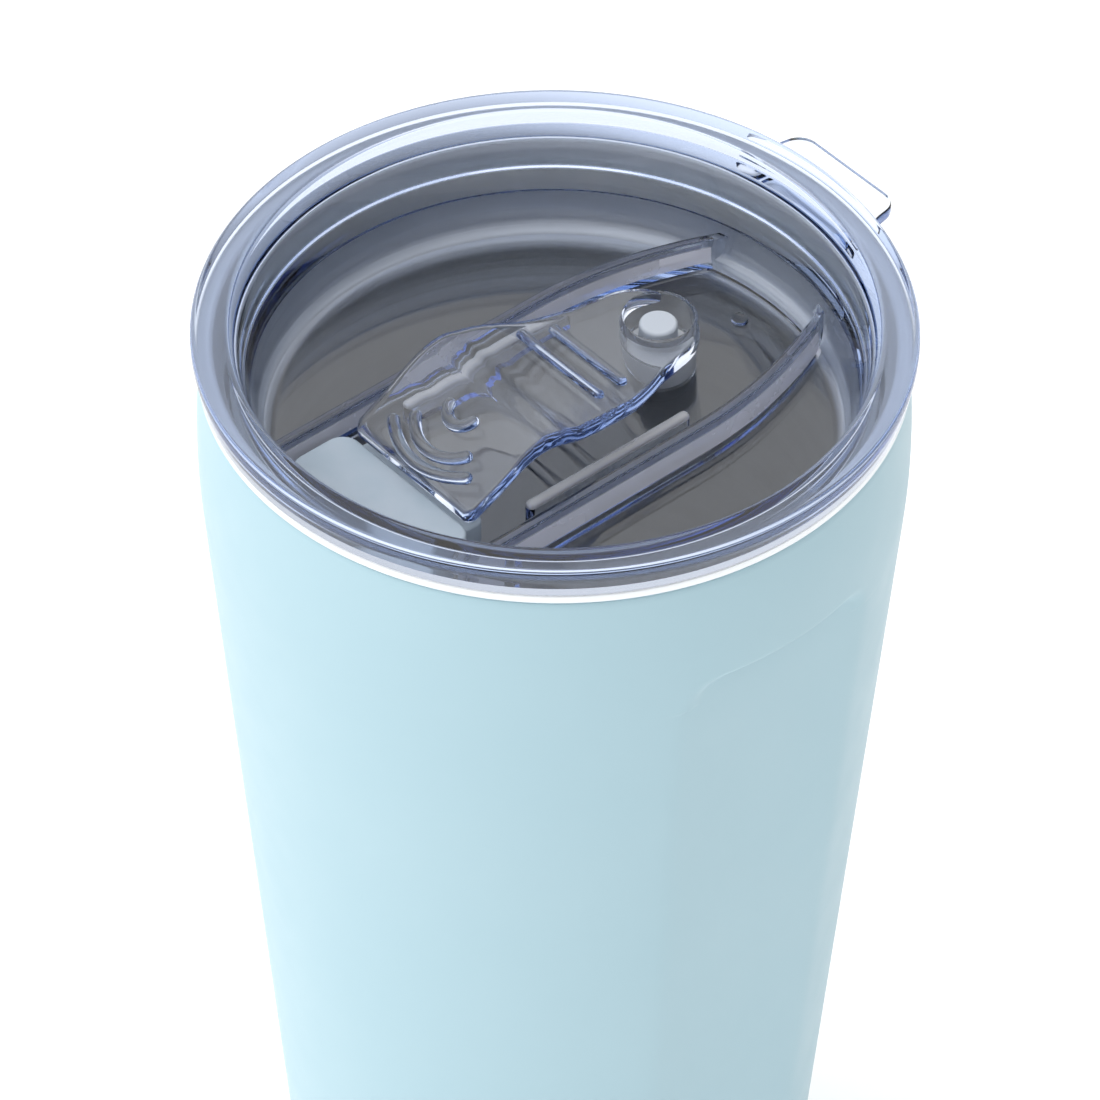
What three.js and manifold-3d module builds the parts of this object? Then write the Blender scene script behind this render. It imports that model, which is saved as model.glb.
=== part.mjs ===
// Double-wall steel tumbler with a clear press-in lid and a sliding sip gate.
// Millimetres, +Z up. The origin is the centre of the base pad's underside, the side to
// drink from is -Y, the lid's lifting tab is at +Y and the flat grip panels face -X and +X.
import * as THREE from 'three';
import { mergeVertices } from 'three/addons/utils/BufferGeometryUtils.js';
import Module from 'manifold-3d';

const wasm = await Module();
wasm.setup();

// ---- Driving dimensions ----
const LID_DATUM = 168.5;         // height of the lid flange's widest circle
const FLANGE_RADIUS = 44;
const LIP_TOP = 165.6;           // the steel lip that the lid rests on
const PAINT_EDGE = 163.9;        // top of the painted outer wall
const LIP_RADIUS = 43.35;

const WALL = 0.8;                // both steel walls
const RIM_RADIUS = 43.0;         // outer wall at the paint edge
const RIM_FLARE = 0.1;           // the wall still widens here, millimetres per millimetre down
const TAPER = 0.078;             // and narrows by this much lower down
const SHOULDER_DEPTH = 21;       // depth over which the flare turns into the taper
const FOOT_HEIGHT = 0.7;         // steel foot above the table, which the base pad reaches
const FOOT_CORNER = 3;

const PANEL_HALF_ANGLE = THREE.MathUtils.degToRad(20);
const PANEL_TOP = 148.5;
const PANEL_BOTTOM = 14;
const PANEL_FADE = 3;            // height over which a panel's depth runs out at its ends

const VESSEL_FLOOR = 6.5;        // inside floor of the cup
const BOTTOM_PLATE_RADIUS = 28.1;
const BOTTOM_PLATE_Z = 1.6;
const PORT_RADIUS = 1.3;         // evacuation port in the bottom plate
const DIMPLE_RADIUS = 5;
const DIMPLE_RISE = 1.6;
const PAD_RADIUS = 26.5;

// Heights inside the lid are depths below the flange datum, so they are negative.
const WELL_FLOOR = -14.6;
const CHANNEL_FLOOR = -15.9;
const HULL_BOTTOM = -17.5;       // underside of the channel
const RAIL_TOP = -10.7;
const RAIL_OUTER = 16.2;         // half-widths of the channel's side rails
const RAIL_INNER = 14.5;
const RAIL_OUTER_BACK = 9.4;     // and at their back ends
const RAIL_INNER_BACK = 8.2;
const RAIL_BEND_Y = 10;          // behind this the rails bend in towards the back
const RAIL_END_Y = 36.6;
const CHANNEL_RADIUS = 35.4;
const SIP_HALF_WIDTH = 9;
const SIP_FRONT = -32;
const SIP_BACK = -25.4;
const VENT_Y = 16.8;
const VENT_RADIUS = 1.25;
const GUIDE_X = 11;              // two low ribs in the channel, outside the gate's feet
const GUIDE_TOP = -12.6;
const RUNNER_WIDTH = 1.2;        // guides and feet alike
const PIP_RADIUS = 1.1;          // round mark behind the gate
const PIP_Y = 30.4;

const SLIDE_GAP = 0.2;           // everything that slides clears the channel's floor by this
const PLATE_THICKNESS = 2.2;
const GATE_FRONT = -22.7;
const GATE_FRONT_HALF = 11;
const GATE_END_RADIUS = 7.6;     // round back end of the gate, in plan
const GATE_END_Y = 13.4;
const RIB_HALF_WIDTH = 0.7;      // thumb ribs
const GATE_FOOT_X = 9.4;
const BOSS_RADIUS = 4.8;         // tube at the gate's back end that holds the vent plug
const BOSS_TOP = -7.4;
const SEAL_HALF_WIDTH = 12.2;    // silicone block over the sip opening
const SEAL_FRONT = -32.6;
const SEAL_BACK = -22.9;
const SEAL_TOP = -11.2;
const TONGUE_HALF_WIDTH = 9.9;   // and its tongue under the gate
const TONGUE_BACK = -19.4;
const TONGUE_TOP = -12.5;
const VENT_PLUG_RADIUS = 4.2;
const PLUG_GAP = 0.1;
const PLUG_SHOULDER = -12.4;
const PLUG_TOP = -8.4;
const NUB_RADIUS = 2.4;

// ---- Materials ----
const steel = { color: 0x8d9294, roughness: 0.38, metalness: 1 };
const painted = { color: 0xbedbe6, roughness: 0.45, metalness: 0.1 };
const clear = { color: 0xd5e0ef, roughness: 0.06, metalness: 0 };
const silicone = { color: 0xc4cdd6, roughness: 0.6, metalness: 0 };

// ---- Helpers ----
function turned(profile, segments = 48) {
  const points = profile.map(([radius, z]) => new THREE.Vector2(radius, z));
  return new THREE.LatheGeometry(points, segments).rotateX(Math.PI / 2);
}

function disc(radius, low, high, segments = 48) {
  return turned([[0, low], [radius, low], [radius, high], [0, high]], segments);
}

function prism(shape, low, high, curveSegments = 8) {
  const settings = { depth: high - low, bevelEnabled: false, curveSegments };
  return new THREE.ExtrudeGeometry(shape, settings).translate(0, 0, low);
}

// A prism whose outline is drawn in the YZ plane and which runs across X.
function crossPrism(shape, halfWidth, curveSegments = 8) {
  const axes = [new THREE.Vector3(0, 1, 0), new THREE.Vector3(0, 0, 1), new THREE.Vector3(1, 0, 0)];
  const turn = new THREE.Matrix4().makeBasis(...axes);
  return prism(shape, -halfWidth, halfWidth, curveSegments).applyMatrix4(turn);
}

function box(lowX, highX, lowY, highY, lowZ, highZ) {
  const size = [highX - lowX, highY - lowY, highZ - lowZ];
  const middle = [(lowX + highX) / 2, (lowY + highY) / 2, (lowZ + highZ) / 2];
  return new THREE.BoxGeometry(...size).translate(...middle);
}

function roundedRectangle(lowX, highX, lowY, highY, radius) {
  const shape = new THREE.Shape();
  shape.absarc(highX - radius, lowY + radius, radius, -Math.PI / 2, 0);
  shape.absarc(highX - radius, highY - radius, radius, 0, Math.PI / 2);
  shape.absarc(lowX + radius, highY - radius, radius, Math.PI / 2, Math.PI);
  shape.absarc(lowX + radius, lowY + radius, radius, Math.PI, Math.PI * 1.5);
  return shape;
}

function solid(geometry) {
  geometry.deleteAttribute('normal');
  geometry.deleteAttribute('uv');
  const merged = mergeVertices(geometry, 1e-4);
  const vertProperties = new Float32Array(merged.attributes.position.array);
  const triVerts = new Uint32Array(merged.index.array);
  return new wasm.Manifold(new wasm.Mesh({ numProp: 3, vertProperties, triVerts }));
}

function geometryOf(manifold) {
  const mesh = manifold.getMesh();
  const geometry = new THREE.BufferGeometry();
  geometry.setAttribute('position', new THREE.BufferAttribute(mesh.vertProperties, 3));
  geometry.setIndex(new THREE.BufferAttribute(mesh.triVerts, 1));
  return geometry;
}

function joined(...geometries) {
  return geometries.map(solid).reduce((whole, piece) => whole.add(piece));
}

function part(name, geometry, material) {
  const mesh = new THREE.Mesh(geometry, new THREE.MeshStandardMaterial(material));
  mesh.name = name;
  return mesh;
}

// ---- Cup ----
function wallRadius(z) {
  const depth = PAINT_EDGE - z;
  const turning = (RIM_FLARE + TAPER) / SHOULDER_DEPTH;
  if (depth < SHOULDER_DEPTH) return RIM_RADIUS + RIM_FLARE * depth - turning * depth * depth / 2;
  const shoulder = RIM_RADIUS + (RIM_FLARE - TAPER) * SHOULDER_DEPTH / 2;
  return shoulder - TAPER * (depth - SHOULDER_DEPTH);
}

// Presses the two flat grip panels into the turned wall, through its whole thickness.
function pressPanels(geometry) {
  const position = geometry.attributes.position;
  for (let i = 0; i < position.count; i += 1) {
    const x = position.getX(i);
    const y = position.getY(i);
    const z = position.getZ(i);
    const cosine = Math.abs(x) / Math.hypot(x, y);
    const inside = cosine > Math.cos(PANEL_HALF_ANGLE);
    const fade = Math.min((PANEL_TOP - z) / PANEL_FADE, (z - PANEL_BOTTOM) / PANEL_FADE, 1);
    if (!inside || fade <= 0) continue;
    const depth = fade * wallRadius(z) * (1 - Math.cos(PANEL_HALF_ANGLE) / cosine);
    const scale = 1 - depth / Math.hypot(x, y);
    position.setXY(i, x * scale, y * scale);
  }
  return geometry;
}

function outerShell() {
  const cornerZ = FOOT_HEIGHT + FOOT_CORNER;
  const cornerRadius = wallRadius(cornerZ);
  const heights = [PAINT_EDGE, 159, 154, PANEL_TOP, PANEL_TOP - PANEL_FADE, 143,
    PANEL_BOTTOM + PANEL_FADE, PANEL_BOTTOM, cornerZ];
  const outside = heights.map((z) => [wallRadius(z), z]);
  const inside = heights.map((z) => [wallRadius(z) - WALL, z]).reverse();
  const corner = [30, 60, 90].map((degrees) => {
    const angle = THREE.MathUtils.degToRad(degrees);
    return [cornerRadius - FOOT_CORNER * (1 - Math.cos(angle)), cornerZ - FOOT_CORNER * Math.sin(angle)];
  });
  const footInner = BOTTOM_PLATE_RADIUS + 0.2;
  const inward = [[footInner, FOOT_HEIGHT], [footInner, BOTTOM_PLATE_Z], [cornerRadius - 2.2, BOTTOM_PLATE_Z]];
  const profile = [...outside, ...corner, ...inward, ...inside, outside[0]].reverse();
  return pressPanels(turned(profile, 72));
}

// The drawn inner cup. Its turned-out lip closes the top of the double wall, and a shoulder
// under the lip leaves room for the lid's plug.
function innerVessel() {
  const inside = [[0, VESSEL_FLOOR], [20.5, VESSEL_FLOOR], [23.9, 7.6], [25.4, 9.8], [26, 13],
    [34.9, 147.6], [35.3, 149.6], [36.4, 151], [38.1, 152.4], [38.9, 154.2], [39.3, 156],
    [40.2, 163], [40.6, 165], [41.2, LIP_TOP]];
  const lip = [[42.9, LIP_TOP], [LIP_RADIUS, LIP_TOP - 0.5], [LIP_RADIUS, PAINT_EDGE], [41.9, PAINT_EDGE]];
  const outside = [[41, 162.8], [40.1, 156], [39.7, 153.6], [38.5, 151.6], [36.4, 150], [35.7, 147.6],
    [26.8, 13], [26.2, 9.4], [24.4, 7], [20.8, VESSEL_FLOOR - WALL], [0, VESSEL_FLOOR - WALL]];
  return turned([...inside, ...lip, ...outside].reverse());
}

function bottomPlate() {
  const top = BOTTOM_PLATE_Z + WALL;
  const profile = [[PORT_RADIUS, BOTTOM_PLATE_Z + DIMPLE_RISE], [DIMPLE_RADIUS, BOTTOM_PLATE_Z + DIMPLE_RISE],
    [DIMPLE_RADIUS + 1, BOTTOM_PLATE_Z], [BOTTOM_PLATE_RADIUS, BOTTOM_PLATE_Z], [BOTTOM_PLATE_RADIUS, top],
    [DIMPLE_RADIUS + 1.4, top], [DIMPLE_RADIUS + 0.4, top + DIMPLE_RISE], [PORT_RADIUS, top + DIMPLE_RISE]];
  return turned([...profile, profile[0]]);
}

// Solder bead that closes the evacuation port: a flat head in the dimple and a stem in the port.
function sealBead() {
  const head = BOTTOM_PLATE_Z + DIMPLE_RISE;
  return turned([[0, head - 0.9], [1.8, head - 0.8], [2.6, head - 0.2], [2.6, head], [PORT_RADIUS - 0.1, head],
    [PORT_RADIUS - 0.1, head + WALL], [0, head + WALL]], 24);
}

function getter() {
  const low = BOTTOM_PLATE_Z + WALL;
  return disc(4.5, low, low + 1.6, 24).translate(15, 0, 0);
}

function basePad() {
  return turned([[0, 0], [PAD_RADIUS - 0.5, 0], [PAD_RADIUS, 0.5], [PAD_RADIUS, BOTTOM_PLATE_Z],
    [0, BOTTOM_PLATE_Z]]);
}

// ---- Lid ----
// The flange, the plug wall and the floor of the well are one turned shape.
function lidTurned() {
  const underside = [[0, -16.4], [34.4, -16.4], [36.6, -15.8], [38, -14.4], [38.6, -12.6], [39, -10.2],
    [38.1, -10.2], [38.1, -6.6], [39.1, -6.6], [39.3, -3.6], [39.9, -2.9]];
  const flange = [[43.4, -2.9], [43.75, -2.6], [FLANGE_RADIUS, -0.1], [43.5, 1], [42.6, 1.4],
    [40.6, 1.4], [39.5, 0.9], [38.8, -0.2]];
  const well = [[37.9, -4], [36.8, -10.5], [36.2, -12.5], [35.1, -13.9], [33.4, WELL_FLOOR], [0, WELL_FLOOR]];
  return turned([...underside, ...flange, ...well]);
}

// Plan outline of the slider's channel: straight sides that bend in towards the back.
function channelOutline(halfWidth, backHalfWidth) {
  const shape = new THREE.Shape();
  const front = -FLANGE_RADIUS;
  const controlY = RAIL_BEND_Y + 13;
  shape.moveTo(-halfWidth, front);
  shape.lineTo(halfWidth, front);
  shape.lineTo(halfWidth, RAIL_BEND_Y);
  shape.quadraticCurveTo(halfWidth, controlY, backHalfWidth, RAIL_END_Y);
  shape.lineTo(-backHalfWidth, RAIL_END_Y);
  shape.quadraticCurveTo(-halfWidth, controlY, -halfWidth, RAIL_BEND_Y);
  return shape;
}

function tabOutline() {
  const shape = new THREE.Shape();
  shape.moveTo(-12.4, 40);
  shape.lineTo(-12.4, 42.2);
  shape.quadraticCurveTo(-10.6, 43.4, -9.6, 45.4);
  shape.quadraticCurveTo(-8.4, 48.4, -6, 48.4);
  shape.lineTo(6, 48.4);
  shape.quadraticCurveTo(8.4, 48.4, 9.6, 45.4);
  shape.quadraticCurveTo(10.6, 43.4, 12.4, 42.2);
  shape.lineTo(12.4, 40);
  return shape;
}

// A straight rib along Y, centred on x.
function runner(x, lowY, highY, lowZ, highZ) {
  return box(x - RUNNER_WIDTH / 2, x + RUNNER_WIDTH / 2, lowY, highY, lowZ, highZ);
}

function lidBody() {
  const outer = channelOutline(RAIL_OUTER, RAIL_OUTER_BACK);
  const inner = channelOutline(RAIL_INNER, RAIL_INNER_BACK);
  const hull = solid(prism(outer, HULL_BOTTOM, -15)).intersect(solid(disc(36, HULL_BOTTOM, -15)));
  const rails = solid(prism(outer, -15.2, RAIL_TOP)).intersect(solid(disc(37.2, -15.2, RAIL_TOP)));
  const channel = solid(prism(inner, CHANNEL_FLOOR, RAIL_TOP + 1))
    .intersect(solid(disc(CHANNEL_RADIUS, CHANNEL_FLOOR, RAIL_TOP + 1)));
  const sipShape = roundedRectangle(-SIP_HALF_WIDTH, SIP_HALF_WIDTH, SIP_FRONT, SIP_BACK, 2.5);
  const sipHole = solid(prism(sipShape, HULL_BOTTOM - 1, CHANNEL_FLOOR + 1));
  const ventHole = solid(disc(VENT_RADIUS, HULL_BOTTOM - 1, CHANNEL_FLOOR + 1, 16).translate(0, VENT_Y, 0));
  const guides = [-GUIDE_X, GUIDE_X].map((x) => runner(x, -13.8, 12, CHANNEL_FLOOR - 0.3, GUIDE_TOP));
  const pip = disc(PIP_RADIUS, CHANNEL_FLOOR - 0.3, CHANNEL_FLOOR + 0.5, 16).translate(0, PIP_Y, 0);
  const tab = prism(tabOutline(), -2.4, -0.7, 5);
  return solid(lidTurned()).add(hull).add(rails).subtract(channel).subtract(sipHole).subtract(ventHole)
    .add(joined(...guides)).add(solid(pip)).add(solid(tab));
}

// Silicone ring in the plug's groove, with two lips that wipe the cup's wall.
function lidGasket() {
  const profile = [[38.2, -10.1], [38.9, -10.1], [39.35, -9.7], [39.1, -9.2], [39.1, -8.6], [39.5, -8.1],
    [39.1, -7.6], [39, -6.7], [38.2, -6.7]];
  return turned([...profile, profile[0]]);
}

// ---- Sliding sip gate ----
// Side view of the gate's plate: a front slope up to a finger ridge, and a level back end.
function gateSide() {
  const points = [[GATE_FRONT, -9.2], [-18, -6.9], [-14, -4.5], [-10.3, -3.5], [-6, -4.4], [-2, -5.4],
    [2, -6.6], [6, -7.4], [12, -7.3], [22.5, -7.3]];
  const top = new THREE.SplineCurve(points.map(([y, z]) => new THREE.Vector2(y, z))).getPoints(27);
  const bottom = top.map((point) => new THREE.Vector2(point.x, point.y - PLATE_THICKNESS)).reverse();
  return new THREE.Shape([...top, ...bottom]);
}

function gateOutline() {
  const halfWidths = [[GATE_FRONT, GATE_FRONT_HALF], [-14, 11.2], [-10, 11.6], [-7, 12], [-2, 11.4],
    [4, 10], [9, 8.8]];
  const right = halfWidths.map(([y, x]) => new THREE.Vector2(x, y));
  const left = halfWidths.map(([y, x]) => new THREE.Vector2(-x, y)).reverse();
  const shape = new THREE.Shape();
  shape.moveTo(-GATE_FRONT_HALF, GATE_FRONT);
  shape.lineTo(GATE_FRONT_HALF, GATE_FRONT);
  shape.splineThru(right.slice(1));
  shape.absarc(0, GATE_END_Y, GATE_END_RADIUS, 0, Math.PI);
  shape.splineThru(left);
  return shape;
}

// Raised thumb ribs: curved ones on the front slope, straight ones behind the ridge.
function curvedRib(y, width, radius, z) {
  const half = Math.asin(width / 2 / radius);
  const shape = new THREE.Shape();
  shape.absarc(0, y + radius, radius + RIB_HALF_WIDTH, -Math.PI / 2 - half, -Math.PI / 2 + half);
  shape.absarc(0, y + radius, radius - RIB_HALF_WIDTH, -Math.PI / 2 + half, -Math.PI / 2 - half, true);
  return prism(shape, z - 2, z + 0.7, 6);
}

function straightRib(y, width, z) {
  const outline = roundedRectangle(-width / 2, width / 2, y - RIB_HALF_WIDTH, y + RIB_HALF_WIDTH,
    RIB_HALF_WIDTH - 0.01);
  return prism(outline, z - 1.2, z + 0.6, 3);
}

function gate() {
  const plate = solid(crossPrism(gateSide(), 13)).intersect(solid(prism(gateOutline(), -16, 0, 6)));
  const curved = [[-16.2, 4.3, 2.35, -5.3], [-19.6, 9.5, 6.5, -7], [-21.9, 13, 11.8, -8.3]]
    .map((rib) => curvedRib(...rib));
  const straight = [[0.8, 15.6, -6.3], [5.3, 13.8, -7.3]].map((rib) => straightRib(...rib));
  const low = CHANNEL_FLOOR + SLIDE_GAP;
  const feet = [-GATE_FOOT_X, GATE_FOOT_X].map((x) => runner(x, -15, -4.5, low + 0.1, -5.3));
  const boss = disc(BOSS_RADIUS, low, BOSS_TOP, 32).translate(0, VENT_Y, 0);
  const bore = disc(VENT_PLUG_RADIUS + PLUG_GAP, CHANNEL_FLOOR - 1, -6, 32).translate(0, VENT_Y, 0);
  return plate.add(joined(...curved, ...straight, ...feet, boss)).subtract(solid(bore));
}

// Silicone block that closes the sip opening; its tongue lies under the plate's front edge.
function gateSeal() {
  const low = CHANNEL_FLOOR + SLIDE_GAP;
  const outline = roundedRectangle(-SEAL_HALF_WIDTH, SEAL_HALF_WIDTH, SEAL_FRONT, SEAL_BACK, 2.6);
  const block = prism(outline, low, SEAL_TOP, 5);
  const tongue = box(-TONGUE_HALF_WIDTH, TONGUE_HALF_WIDTH, SEAL_BACK - 1, TONGUE_BACK, low, TONGUE_TOP);
  return joined(block, tongue);
}

function ventPlug() {
  const low = CHANNEL_FLOOR + SLIDE_GAP;
  return turned([[0, low], [VENT_PLUG_RADIUS - 0.6, low], [VENT_PLUG_RADIUS, low + 0.6],
    [VENT_PLUG_RADIUS, PLUG_SHOULDER], [NUB_RADIUS, PLUG_SHOULDER], [NUB_RADIUS, PLUG_TOP - 0.4],
    [NUB_RADIUS - 0.4, PLUG_TOP], [0, PLUG_TOP]], 24).translate(0, VENT_Y, 0);
}

// ---- Assembly ----
const cup = new THREE.Group();
cup.add(part('outer_shell', outerShell(), painted));
cup.add(part('inner_vessel', innerVessel(), steel));
cup.add(part('bottom_plate', bottomPlate(), steel));
cup.add(part('port_seal', sealBead(), { color: 0xb9b4a4, roughness: 0.5, metalness: 0.6 }));
cup.add(part('getter', getter(), { color: 0x5c5c60, roughness: 0.8, metalness: 0.3 }));
cup.add(part('base_pad', basePad(), { color: 0xa9bcc6, roughness: 0.75, metalness: 0 }));

const lid = new THREE.Group();
lid.add(part('lid_body', geometryOf(lidBody()), clear));
lid.add(part('lid_gasket', lidGasket(), silicone));
lid.add(part('sip_gate', geometryOf(gate()), clear));
lid.add(part('gate_seal', geometryOf(gateSeal()), silicone));
lid.add(part('vent_plug', ventPlug(), silicone));
lid.position.z = LID_DATUM;

const tumbler = new THREE.Group();
tumbler.add(cup, lid);
export default tumbler;
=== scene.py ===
import math

import bmesh
import bpy
import numpy as np
from mathutils import Matrix, Vector
from mathutils.bvhtree import BVHTree
from mathutils.interpolate import poly_3d_calc


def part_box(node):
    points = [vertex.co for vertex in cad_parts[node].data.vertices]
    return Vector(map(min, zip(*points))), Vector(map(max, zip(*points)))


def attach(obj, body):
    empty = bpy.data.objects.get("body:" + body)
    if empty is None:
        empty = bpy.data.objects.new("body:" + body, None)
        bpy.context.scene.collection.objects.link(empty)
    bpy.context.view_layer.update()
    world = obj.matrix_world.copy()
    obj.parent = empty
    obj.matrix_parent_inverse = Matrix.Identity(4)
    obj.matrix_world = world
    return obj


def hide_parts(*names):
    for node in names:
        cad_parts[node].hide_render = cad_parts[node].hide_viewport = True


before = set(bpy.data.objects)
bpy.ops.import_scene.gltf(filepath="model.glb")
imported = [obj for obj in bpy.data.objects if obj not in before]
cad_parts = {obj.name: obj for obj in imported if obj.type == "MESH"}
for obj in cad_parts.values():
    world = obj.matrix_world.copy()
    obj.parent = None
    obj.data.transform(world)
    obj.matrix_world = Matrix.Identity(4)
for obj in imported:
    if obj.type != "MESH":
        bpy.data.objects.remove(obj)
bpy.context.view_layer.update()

scene = bpy.context.scene

# Shapes below are in millimetres, in the row frame: +Z up, the side to drink from at -Y.
MM = 0.001


def node_box(name):
    low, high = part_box(name)
    return low / MM, high / MM


# ---- Places and sizes from the frame ----
lid_high = node_box("lid_body")[1]
shell_low, shell_high = node_box("outer_shell")
vessel_low, vessel_high = node_box("inner_vessel")
seal_low, seal_high = node_box("gate_seal")
plug_low, plug_high = node_box("vent_plug")

FLANGE_CROWN = 1.4                       # the flange's top above its widest circle
DATUM = lid_high.z - FLANGE_CROWN        # heights inside the lid are measured from here
FLANGE_RADIUS = lid_high.x
LIP_TOP = vessel_high.z
LIP_RADIUS = vessel_high.x
PAINT_EDGE = shell_high.z
RIM_RADIUS = 43.0                        # painted wall at its top edge
RIM_FLARE = 0.1                          # the wall still widens here, millimetres per millimetre down
TAPER = 0.078                            # and narrows by this much lower down
SHOULDER_DEPTH = 21                      # depth over which the flare turns into the taper
WALL = 0.8
FOOT_CORNER = 3
FOOT_SEAT_RADIUS = 28.3                  # the wall turns in to here, round the bottom plate
FOOT_SEAT_HEIGHT = 0.9

PANEL_HALF_ANGLE = math.radians(20)
PANEL_TOP = 148.5
PANEL_BOTTOM = 14
PANEL_CORNER = 5.0                       # radius of a panel's corners
PANEL_EDGE = 2.6                         # width over which a panel's end slopes in
PANEL_CREASE = 0.35                      # softness of its long edges

# Heights inside the lid are depths below the datum, so they are negative.
WELL_FLOOR = -14.6
CHANNEL_FLOOR = -15.9
HULL_BOTTOM, HULL_TOP = -17.5, -15.2     # body of the channel under the well's floor
HULL_RADIUS = 36
RAIL_TOP = -10.7
RAIL_OUTER, RAIL_OUTER_BACK = 15.8, 9.3  # half-widths at the rails' tops, and at their back ends
RAIL_INNER, RAIL_INNER_BACK = 14.5, 8.2
RAIL_BEND_Y = 10
RAIL_END_Y = 36.6
RAIL_REACH = 37.2                        # the rails end inside the plug's wall
RAIL_DRAFT = 0.7                         # the rails' outer sides stand out by this much lower down
CHANNEL_RADIUS = 35.4
SIP_HALF_WIDTH, SIP_FRONT, SIP_BACK = 9, -32, -25.4
GUIDE_X, GUIDE_HALF_WIDTH, GUIDE_TOP = 11, 0.75, -12.6
GUIDE_FRONT, GUIDE_BACK = -13.8, 12
PIP_RADIUS, PIP_Y = 1.1, 30.4            # round mark behind the gate
VENT_RADIUS = 1.25
VENT_Y = (plug_low.y + plug_high.y) / 2
VENT_PLUG_RADIUS = plug_high.x
NUB_RADIUS = 2.4
PLUG_SHOULDER = -12.4
BORE_RADIUS = 4.35                       # above the plug, which fills the bore below its shoulder
BOSS_RADIUS = 4.8
BOSS_TOP = -7.4
PLATE_THICKNESS = 2.2
GATE_FRONT, GATE_FRONT_HALF = -22.7, 10.9
GATE_END_RADIUS, GATE_END_Y = 7.6, 13.4  # round back end of the gate, in plan
RIB_RADIUS = 0.82
SEAL_BACK = -22.9
TONGUE_HALF_WIDTH, TONGUE_TOP = 9.9, -12.5

TURN = 320                               # steps round a turned surface
ARC_STEP = math.radians(9)               # steps along a fillet
TUBE_SIDES, TUBE_CAP_STEPS = 20, 5
SHARP, JOINED_SHARP = 40, 35             # degrees past which an edge is left sharp
SAME_PLANE = 0.97                        # cosine that counts two faces as one surface


# ---- Mesh building ----
def new_object(name, vertices, faces):
    mesh = bpy.data.meshes.new(name)
    mesh.from_pydata([tuple(v) for v in np.asarray(vertices, float) * MM], [], faces)
    mesh.validate()
    piece = bpy.data.objects.new(name, mesh)
    scene.collection.objects.link(piece)
    smooth(piece)
    return piece


def smooth(piece, sharp=SHARP):
    mesh = piece.data
    mesh.polygons.foreach_set("use_smooth", [True] * len(mesh.polygons))
    mesh.set_sharp_from_angle(angle=math.radians(sharp))


def filleted(corners, closed=True):
    """A path through the corners (x, y, fillet radius), with an arc in place of each rounded one."""
    points = []
    count = len(corners)
    for i, (x, y, radius) in enumerate(corners):
        here = np.array([x, y], float)
        if radius <= 0 or (not closed and i in (0, count - 1)):
            points.append(here)
            continue
        before = np.array(corners[i - 1][:2], float) - here
        after = np.array(corners[(i + 1) % count][:2], float) - here
        before_length, after_length = np.linalg.norm(before), np.linalg.norm(after)
        before, after = before / before_length, after / after_length
        angle = math.acos(float(np.clip(before @ after, -1, 1)))
        if math.pi - angle < 1e-3:
            points.append(here)
            continue
        reach = min(radius / math.tan(angle / 2), before_length * 0.49, after_length * 0.49)
        radius = reach * math.tan(angle / 2)
        middle = (before + after) / np.linalg.norm(before + after)
        centre = here + middle * radius / math.sin(angle / 2)
        start, end = here + before * reach - centre, here + after * reach - centre
        sweep = math.pi - angle
        steps = max(2, math.ceil(sweep / ARC_STEP))
        side = math.copysign(1, start[0] * end[1] - start[1] * end[0])
        for k in range(steps + 1):
            turn = side * sweep * k / steps
            c, s = math.cos(turn), math.sin(turn)
            points.append(centre + np.array([c * start[0] - s * start[1], s * start[0] + c * start[1]]))
    return points


def turned(name, profile, press=None, turn=TURN, centre=(0, 0)):
    """A solid of revolution. The profile (radius, z) closes on itself, or starts and ends on the axis."""
    profile = [tuple(p) for p in profile]
    on_axis = profile[0][0] == 0 and profile[-1][0] == 0
    rings = profile[1:-1] if on_axis else profile
    angles = np.arange(turn) * 2 * math.pi / turn
    radius = np.repeat(np.array([p[0] for p in rings])[:, None], turn, 1)
    height = np.repeat(np.array([p[1] for p in rings])[:, None], turn, 1)
    if press is not None:
        radius = radius - press(angles[None, :], height)
    vertices = np.stack([radius * np.cos(angles), radius * np.sin(angles), height], -1).reshape(-1, 3)
    faces = []
    last = len(rings) if not on_axis else len(rings) - 1
    for i in range(last):
        a, b = i * turn, (i + 1) % len(rings) * turn
        faces += [(a + k, a + (k + 1) % turn, b + (k + 1) % turn, b + k) for k in range(turn)]
    if on_axis:
        first, end = len(vertices), len(vertices) + 1
        vertices = np.vstack([vertices, [0, 0, profile[0][1]], [0, 0, profile[-1][1]]])
        top = (len(rings) - 1) * turn
        faces += [(first, (k + 1) % turn, k) for k in range(turn)]
        faces += [(end, top + k, top + (k + 1) % turn) for k in range(turn)]
    vertices = vertices + np.array([centre[0], centre[1], 0])
    return new_object(name, vertices, faces)


def prism(name, outline, low, high, round_low=0.0, round_high=0.0):
    """An upright solid over a plan outline, with rounded bottom and top edges."""
    tool = bmesh.new()
    base = [tool.verts.new((x * MM, y * MM, low * MM)) for x, y in outline]
    top = [tool.verts.new((x * MM, y * MM, high * MM)) for x, y in outline]
    count = len(outline)
    tool.faces.new(base[::-1])
    tool.faces.new(top)
    for i in range(count):
        j = (i + 1) % count
        tool.faces.new((base[i], base[j], top[j], top[i]))
    bmesh.ops.recalc_face_normals(tool, faces=tool.faces)
    for ring, radius in ((base, round_low), (top, round_high)):
        if radius <= 0:
            continue
        loop = [tool.edges.get((ring[i], ring[(i + 1) % count])) for i in range(count)]
        bmesh.ops.bevel(tool, geom=loop, offset=radius * MM, offset_type="OFFSET", segments=5,
                        profile=0.5, affect="EDGES", clamp_overlap=True)
    mesh = bpy.data.meshes.new(name)
    tool.to_mesh(mesh)
    tool.free()
    piece = bpy.data.objects.new(name, mesh)
    scene.collection.objects.link(piece)
    smooth(piece)
    return piece


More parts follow.
